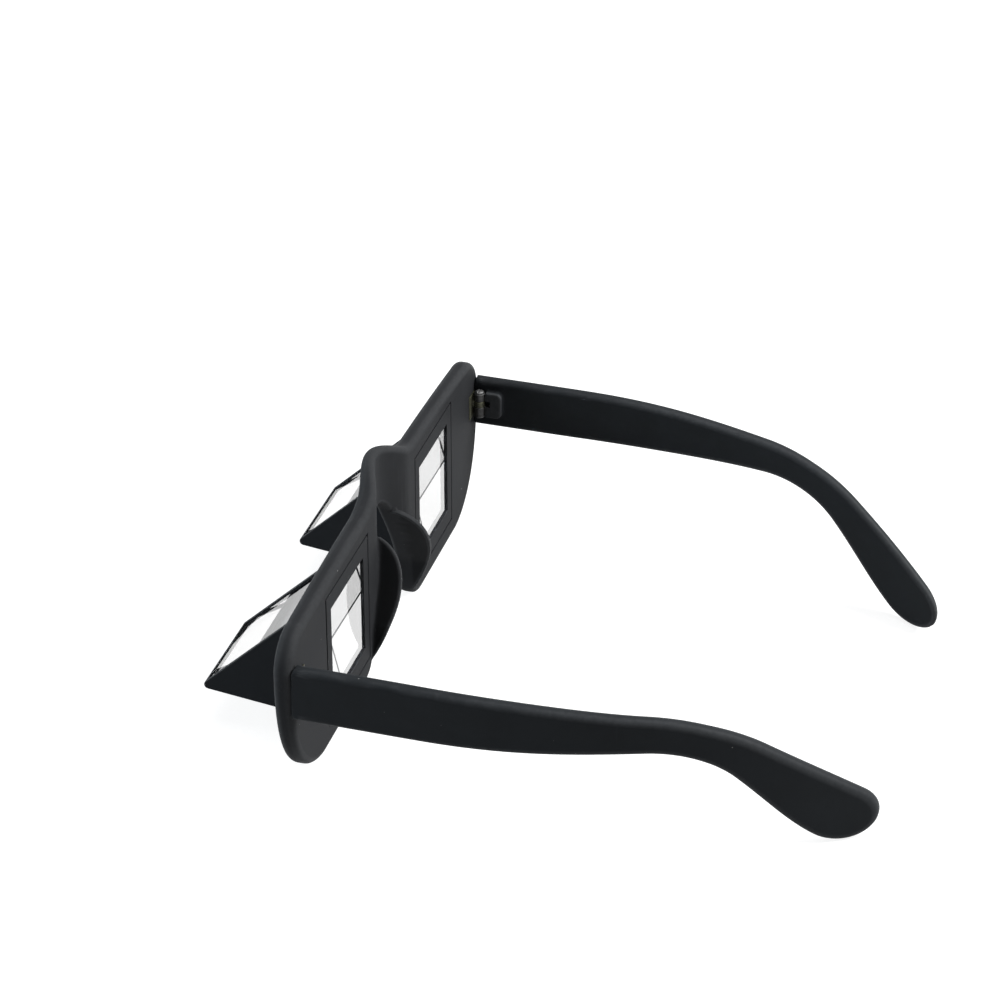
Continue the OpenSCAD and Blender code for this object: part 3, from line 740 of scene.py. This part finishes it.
def mark_pads(plate, wear_and_highlight):
    """Stores where the pads are, apart from their rounded edges, as the mask of painted shade that darkens
    them.
    """
    points = points_of(plate)
    out, along = beside_pad(points)
    on_pad = ramp(points[:, 1], -0.6, 0.3) * ramp(out, PAD_T + 0.5, PAD_T + 0.1) * ramp(along, -2, 0)
    store(plate, "painted_pad_shade", on_pad * (1 - np.clip(2 * wear_and_highlight, 0, 1)))


def bezel_pocket(x):
    """A rectangular pocket from the plate's rear face, with a chamfered rim."""
    half_w, half_h = (size / 2 + SEAM + GROOVE for size in (BEZEL_W, BEZEL_H))
    rings = []
    for y, grow in ((FLANGE_REAR, 0), (-CHAMFER, 0), (0.0, CHAMFER), (BEYOND, CHAMFER)):
        w, h = half_w + grow, half_h + grow
        rings.append([(x - w, y, -h), (x + w, y, -h), (x + w, y, h), (x - w, y, h)])
    return loft("pocket", rings)


def leaf_pocket(sign):
    a = sign * (HINGE_X + LEAF_OUTBOARD - LEAF_W - INSERT_GAP)
    b = sign * (HINGE_X + LEAF_OUTBOARD + INSERT_GAP)
    low = (min(a, b), LEAF_PROUD - LEAF_T - INSERT_GAP, HINGE_LOW - INSERT_GAP)
    high = (max(a, b), LEAF_PROUD, HINGE_LOW + LEAF_H + INSERT_GAP)
    return block("leaf_pocket", low, high)


def by_seam(points):
    """Points at the bezels' seams, which stay free of the edges' wear and painted highlight."""
    beside = np.abs(np.abs(points[:, 0]) - PRISM_X) < BEZEL_W / 2 + SEAM_MARGIN
    return beside & (np.abs(points[:, 2]) < BEZEL_H / 2 + SEAM_MARGIN)


def front_frame():
    tops, bottoms = plate_outlines()
    plate = rounded_slab(
        "front_frame_moulding",
        tops,
        bottoms,
        plate_front,
        plate_rear,
        EDGE_R,
        lambda u, y, v: (u, y, v),
        nose_edge_share,
    )
    combine(plate, [nose_pad(side) for side in SIDES])
    voxels(plate, VOXEL)
    relax(plate, rounds=3)
    soften_pad_roots(plate)
    cutters = []
    for sign in SIDES.values():
        x = sign * PRISM_X
        half = HOUSING_W / 2 + SEAM
        cutters.append(bezel_pocket(x))
        cutters.append(across("slot", wedge_outline(-BEZEL_T - FLANGE_T / 2, SEAM), x - half, x + half))
        cutters.append(leaf_pocket(sign))
    combine(plate, cutters, "DIFFERENCE")
    thin(plate, share=0.45)
    mark_pads(plate, mark_edge_bulge(plate, EDGE_R, rounds=4, bare=by_seam))
    finish_piece(plate, "front", "front_frame", FRAME_PLASTIC)


# Prism units: the wedge's two slopes leave its tip's circle as tangents
def window_z(y, depth):
    """Height of the window's slope at y, or of a level that deep under it."""
    return TIP_Z + (TIP_R - depth) / math.cos(WINDOW_ANGLE) + (y - TIP_Y) * math.tan(WINDOW_ANGLE)


def floor_z(y, depth):
    """Height of the underside at y, or of a level that deep inside it."""
    return TIP_Z - (TIP_R - depth) / math.cos(FLOOR_ANGLE) - (y - TIP_Y) * math.tan(FLOOR_ANGLE)


def mirror_z(y, up):
    """Height of the hollow's floor at y, or of a level above it."""
    return floor_z(GLASS_FRONT, FLOOR_T) + up - (y - GLASS_FRONT) * math.tan(MIRROR_ANGLE)


def wedge_outline(rear_y, grow):
    """The prism housing's outline in Y and Z, grown all round."""
    turns = np.linspace(math.pi / 2 + WINDOW_ANGLE, 1.5 * math.pi - FLOOR_ANGLE, TIP_POINTS)
    nose = [(TIP_Y + (TIP_R + grow) * math.cos(a), TIP_Z + (TIP_R + grow) * math.sin(a)) for a in turns]
    return [(rear_y, floor_z(rear_y, -grow)), (rear_y, window_z(rear_y, -grow)), *nose]


def mark_lining(housing):
    """Stores which faces line the hollow, and how deep each vertex lies under the window's slope."""
    hair = 0.02
    faces = housing.data.polygons
    middles = np.empty(len(faces) * 3)
    faces.foreach_get("center", middles)
    x, y, z = middles.reshape(-1, 3).T
    inside = (np.abs(x - PRISM_X) < CAVITY_HALF + hair) & (z > mirror_z(y, 0) - hair)
    inside &= y > GLASS_FRONT - GLASS_GAP - hair
    store(housing, "lining", inside, "FACE")
    points = points_of(housing)
    store(housing, "sunk", (window_z(points[:, 1], 0) - points[:, 2]) * math.cos(WINDOW_ANGLE))


def wedge_housing(side):
    x, half = PRISM_X, HOUSING_W / 2
    housing = across("prism_housing", wedge_outline(FLANGE_REAR, 0), x - half, x + half)
    low = (x - BEZEL_W / 2, FLANGE_REAR, -BEZEL_H / 2)
    high = (x + BEZEL_W / 2, -BEZEL_T, BEZEL_H / 2)
    combine(housing, [block("flange", low, high)])
    rim = GLASS_RECESS - GLASS_GAP
    front = GLASS_FRONT - GLASS_GAP
    opening = [
        (BEYOND, mirror_z(BEYOND, 0)),
        (BEYOND, window_z(BEYOND, rim)),
        (-PLATE_T, window_z(-PLATE_T, rim)),
        (-PLATE_T, BEYOND),
        (front, BEYOND),
        (front, mirror_z(front, 0)),
    ]
    combine(housing, [across("cavity", opening, x - CAVITY_HALF, x + CAVITY_HALF)], "DIFFERENCE")
    crisp_edges(housing, HOUSING_EDGE_R)
    mark_lining(housing)
    housing.name = f"{side}_wedge_housing"
    mirror_x(housing, side)
    finish_piece(housing, "front", f"{side}_prism_housing", HOUSING_PLASTIC)


def glass_prism(side):
    outline = [
        (-BEZEL_T, mirror_z(-BEZEL_T, MIRROR_T + FILM)),
        (-BEZEL_T, window_z(-BEZEL_T, GLASS_RECESS)),
        (GLASS_FRONT, window_z(GLASS_FRONT, GLASS_RECESS)),
        (GLASS_FRONT, mirror_z(GLASS_FRONT, MIRROR_T + FILM)),
    ]
    glass = across(f"{side}_glass_prism", outline, PRISM_X - GLASS_HALF, PRISM_X + GLASS_HALF)
    mirror_x(glass, side)
    finish_piece(glass, "front", f"{side}_prism", GLASS, smooth=False)


def mirror_sheet(side):
    rear, front = -BEZEL_T, GLASS_FRONT
    corners = ((rear, SHEET_LIFT), (rear, MIRROR_T), (front, MIRROR_T), (front, SHEET_LIFT))
    outline = [(y, mirror_z(y, up)) for y, up in corners]
    sheet = across(f"{side}_mirror_sheet", outline, PRISM_X - GLASS_HALF, PRISM_X + GLASS_HALF)
    mirror_x(sheet, side)
    finish_piece(sheet, "front", f"{side}_prism_mirror", MIRROR, smooth=False)


def bezel_frame(side):
    x = PRISM_X
    bezel = block("bezel", (x - BEZEL_W / 2, -BEZEL_T, -BEZEL_H / 2), (x + BEZEL_W / 2, 0, BEZEL_H / 2))
    hole = block("hole", (x - EYE_W / 2, -BEYOND, -EYE_H / 2), (x + EYE_W / 2, BEYOND, EYE_H / 2))
    combine(bezel, [hole], "DIFFERENCE")
    crisp_edges(bezel, BEZEL_EDGE_R)
    bezel.name = f"{side}_bezel_frame"
    mirror_x(bezel, side)
    finish_piece(bezel, "front", f"{side}_eyepiece_bezel", BEZEL_PLASTIC)


# Temples
def bow(y):
    past = np.maximum(0, np.asarray(y, float) - BOW_Y)
    return BOW_R - np.sqrt(BOW_R**2 - past**2)


def temple_in(y):
    return TEMPLE_IN_X - bow(y)


def temple_out(y):
    return TEMPLE_OUT_X - bow(y)


def temple_edges():
    """The temple's upper and lower edges in Y and Z, along a spine with a run, a bend and a tail."""
    start = np.array([END_GAP, TEMPLE_Z])
    bend = np.array([BEND_Y, TEMPLE_Z - (BEND_Y - END_GAP) * math.tan(TEMPLE_FALL)])
    centre = bend - BEND_R * np.array([math.sin(TEMPLE_FALL), math.cos(TEMPLE_FALL)])
    tail = centre + BEND_R * np.array([math.sin(BEND_ANGLE), math.cos(BEND_ANGLE)])
    run_l = float(np.linalg.norm(bend - start))
    bend_l = BEND_R * (BEND_ANGLE - TEMPLE_FALL)
    length = (TEMPLE_REACH - tail[0]) / math.cos(BEND_ANGLE) + (run_l + bend_l)
    turns = PADDLE_TURN * np.arange(1, PADDLE_POINTS + 1) / PADDLE_POINTS
    halves = (
        (1, PADDLE_TOP_R, PADDLE_TOP_L, PADDLE_TOP_POWER),
        (-1, PADDLE_LOW_R, PADDLE_LOW_L, PADDLE_LOW_POWER),
    )
    edges = []
    for up, paddle_r, paddle_l, power in halves:
        last = length - paddle_l
        along = np.concatenate([np.linspace(0, last, BAR_POINTS), last + paddle_l * np.sin(turns)])
        angle = np.clip(TEMPLE_FALL + (along - run_l) / BEND_R, TEMPLE_FALL, BEND_ANGLE)
        ahead = np.stack([np.cos(angle), -np.sin(angle)], axis=1)
        above = np.stack([np.sin(angle), np.cos(angle)], axis=1)
        spine = start + np.minimum(along, run_l)[:, None] * ahead[0]
        spine = np.where((along > run_l)[:, None], centre + BEND_R * above, spine)
        past_bend = along - run_l - bend_l
        spine = np.where((along > run_l + bend_l)[:, None], tail + past_bend[:, None] * ahead[-1], spine)
        taper = smooth_step(along / WAIST_L) ** WAIST_POWER
        widen = smooth_step((along - WAIST_L) / (last - WAIST_L)) ** power
        to_waist = TEMPLE_H + (WAIST_H - TEMPLE_H) * taper
        to_paddle = WAIST_H + (2 * paddle_r - WAIST_H) * widen
        half = np.where(along < WAIST_L, to_waist, to_paddle) / 2
        half[BAR_POINTS:] = paddle_r * np.cos(turns)
        edges.append(spine + up * half[:, None] * above)
    return edges


def fit_front_end(bar):
    """Lets the temple's front end follow the rounded edge of the plate."""
    points = points_of(bar)
    past = np.maximum(0, points[:, 0] - (HALF_W - EDGE_R))
    hold = np.clip(1 - (points[:, 1] - END_GAP) / END_FIT_L, 0, 1)
    points[:, 1] -= (EDGE_R - np.sqrt(EDGE_R**2 - past**2)) * hold
    bar.data.vertices.foreach_set("co", points.ravel())


def hinge_boss():
    low, high = ARM_LOW - BOSS_WALL, ARM_TOP + BOSS_WALL
    y, z = BOSS_Y + BOSS_L - BOSS_R, high - BOSS_R
    turns = np.linspace(0, math.pi / 2, ROUND_STEPS + 1)
    upper = [(y + BOSS_R * math.sin(a), z + BOSS_R * math.cos(a)) for a in turns]
    lower = [(y, low + high - z) for y, z in reversed(upper)]
    outline = [(BOSS_Y, high), *upper, *lower, (BOSS_Y, low)]
    return across("boss", outline, TEMPLE_IN_X - BOSS_PROUD, TEMPLE_IN_X + BOSS_ROOT)


def by_front_end(points):
    """Points at the temple's front end, which stay free of the edges' wear and painted highlight."""
    return points[:, 1] < UNMARKED_END


def temple(side):
    tops, bottoms = temple_edges()
    bar = rounded_slab(
        "temple", tops, bottoms, temple_in, temple_out, TEMPLE_EDGE_R, lambda u, x, v: (x, u, v)
    )
    fit_front_end(bar)
    combine(bar, [hinge_boss()])
    voxels(bar, VOXEL)
    relax(bar, rounds=2)
    slot = block(
        "slot",
        (ARM_X - INSERT_GAP, BOSS_Y - KNUCKLE_R, ARM_LOW - INSERT_GAP),
        (ARM_X + ARM_T + INSERT_GAP, HINGE_Y + ARM_L + INSERT_GAP, ARM_TOP + INSERT_GAP),
    )
    recess = block(
        "recess",
        (TEMPLE_IN_X - BEYOND, BOSS_Y - BEYOND, MID_LOW - KNUCKLE_GAP),
        (TEMPLE_IN_X, BOSS_Y + FORK_L, TOP_LOW),
    )
    combine(bar, [slot, recess], "DIFFERENCE")
    thin(bar, share=0.35)
    mark_edge_bulge(bar, TEMPLE_EDGE_R, rounds=7, bare=by_front_end)
    bar.name = f"{side}_temple_bar"
    mirror_x(bar, side)
    finish_piece(bar, f"{side}_temple_arm", f"{side}_temple", TEMPLE_PLASTIC)


# Hinges
def knuckle(name, low, height):
    top, rim = low + height, KNUCKLE_R - KNUCKLE_CHAMFER
    levels = [(low, rim), (low + KNUCKLE_CHAMFER, KNUCKLE_R), (top - KNUCKLE_CHAMFER, KNUCKLE_R), (top, rim)]
    return upright(name, levels)


def bore():
    """The hole through a leaf's knuckles that the screw runs in."""
    radius = PIN_R + PIN_GAP
    return upright("bore", [(HINGE_LOW - BEYOND, radius), (HINGE_LOW + HINGE_H + BEYOND, radius)])


def front_hinge_leaf():
    """A plate in the front frame with one knuckle, which a web joins to it."""
    leaf_x = HINGE_X + LEAF_OUTBOARD - LEAF_W
    low = (leaf_x, LEAF_PROUD - LEAF_T, HINGE_LOW)
    leaf = block("frame_leaf", low, (leaf_x + LEAF_W, LEAF_PROUD, HINGE_LOW + LEAF_H))
    web = block(
        "web",
        (HINGE_X - KNUCKLE_R / 2, LEAF_PROUD - WEB_ROOT, MID_LOW),
        (HINGE_X + KNUCKLE_R / 2, HINGE_Y, MID_LOW + KNUCKLE_MID_H),
    )
    combine(leaf, [web, knuckle("middle", MID_LOW, KNUCKLE_MID_H)])
    combine(leaf, [bore()], "DIFFERENCE")
    return leaf


def temple_hinge_leaf():
    """Two knuckles, each on a finger of a plate that is forked round the middle knuckle."""
    leaf = knuckle("temple_leaf", HINGE_LOW, KNUCKLE_LOW_H)
    web_end = BOSS_Y + FORK_L
    spans = [
        (HINGE_Y, web_end + FINGER_ROOT, ARM_LOW, HINGE_LOW + KNUCKLE_LOW_H),
        (HINGE_Y, web_end + FINGER_ROOT, TOP_LOW, ARM_TOP),
        (web_end, HINGE_Y + ARM_L, ARM_LOW, ARM_TOP),
    ]
    plates = [block("plate", (ARM_X, y0, z0), (ARM_X + ARM_T, y1, z1)) for y0, y1, z0, z1 in spans]
    combine(leaf, [knuckle("upper", TOP_LOW, KNUCKLE_TOP_H), *plates])
    combine(leaf, [bore()], "DIFFERENCE")
    return leaf


def slotted_screw():
    top = HINGE_LOW + HINGE_H
    seat = top + HEAD_LIFT
    levels = [(HINGE_LOW, PIN_R - SCREW_CHAMFER), (HINGE_LOW + SCREW_CHAMFER, PIN_R), (seat, PIN_R)]
    levels += [(seat, HEAD_R - HEAD_CHAMFER), (top + HEAD_RIM_H, HEAD_R)]
    for a in np.linspace(0, math.pi / 2, DOME_POINTS):
        height = HEAD_H * (HEAD_SIDE_SHARE + (1 - HEAD_SIDE_SHARE) * math.sin(a))
        radius = HEAD_R * (HEAD_FLAT_SHARE + (1 - HEAD_FLAT_SHARE) * math.cos(a))
        levels.append((top + height, radius))
    screw = upright("screw", levels)
    slot = block(
        "slot",
        (HINGE_X - BEYOND, HINGE_Y - SLOT_W / 2, top + HEAD_H - SLOT_D),
        (HINGE_X + BEYOND, HINGE_Y + SLOT_W / 2, top + HEAD_H + BEYOND),
    )
    combine(screw, [slot], "DIFFERENCE")
    return screw


def hinge(side):
    arm_body = f"{side}_temple_arm"
    leaf, arm, screw = front_hinge_leaf(), temple_hinge_leaf(), slotted_screw()
    rows = (
        (leaf, f"{side}_front_hinge_leaf", "front", f"{side}_frame_hinge", "frame_hinge_metal", BRASS),
        (arm, f"{side}_temple_hinge_leaf", arm_body, f"{side}_temple_hinge", "temple_hinge_metal", NICKEL),
        (screw, f"{side}_slotted_screw", arm_body, f"{side}_hinge_screw", "screw_steel", STEEL),
    )
    for obj, name, body, node, slot_name, material in rows:
        voxels(obj, FINE_VOXEL)
        relax(obj, rounds=2)
        thin(obj, share=0.35)
        mark_edge_bulge(obj, FITTING_EDGE_R)
        obj.name = name
        mirror_x(obj, side)
        finish_piece(obj, body, node, material)


front_frame()
for side in SIDES:
    wedge_housing(side)
    glass_prism(side)
    mirror_sheet(side)
    bezel_frame(side)
    temple(side)
    hinge(side)
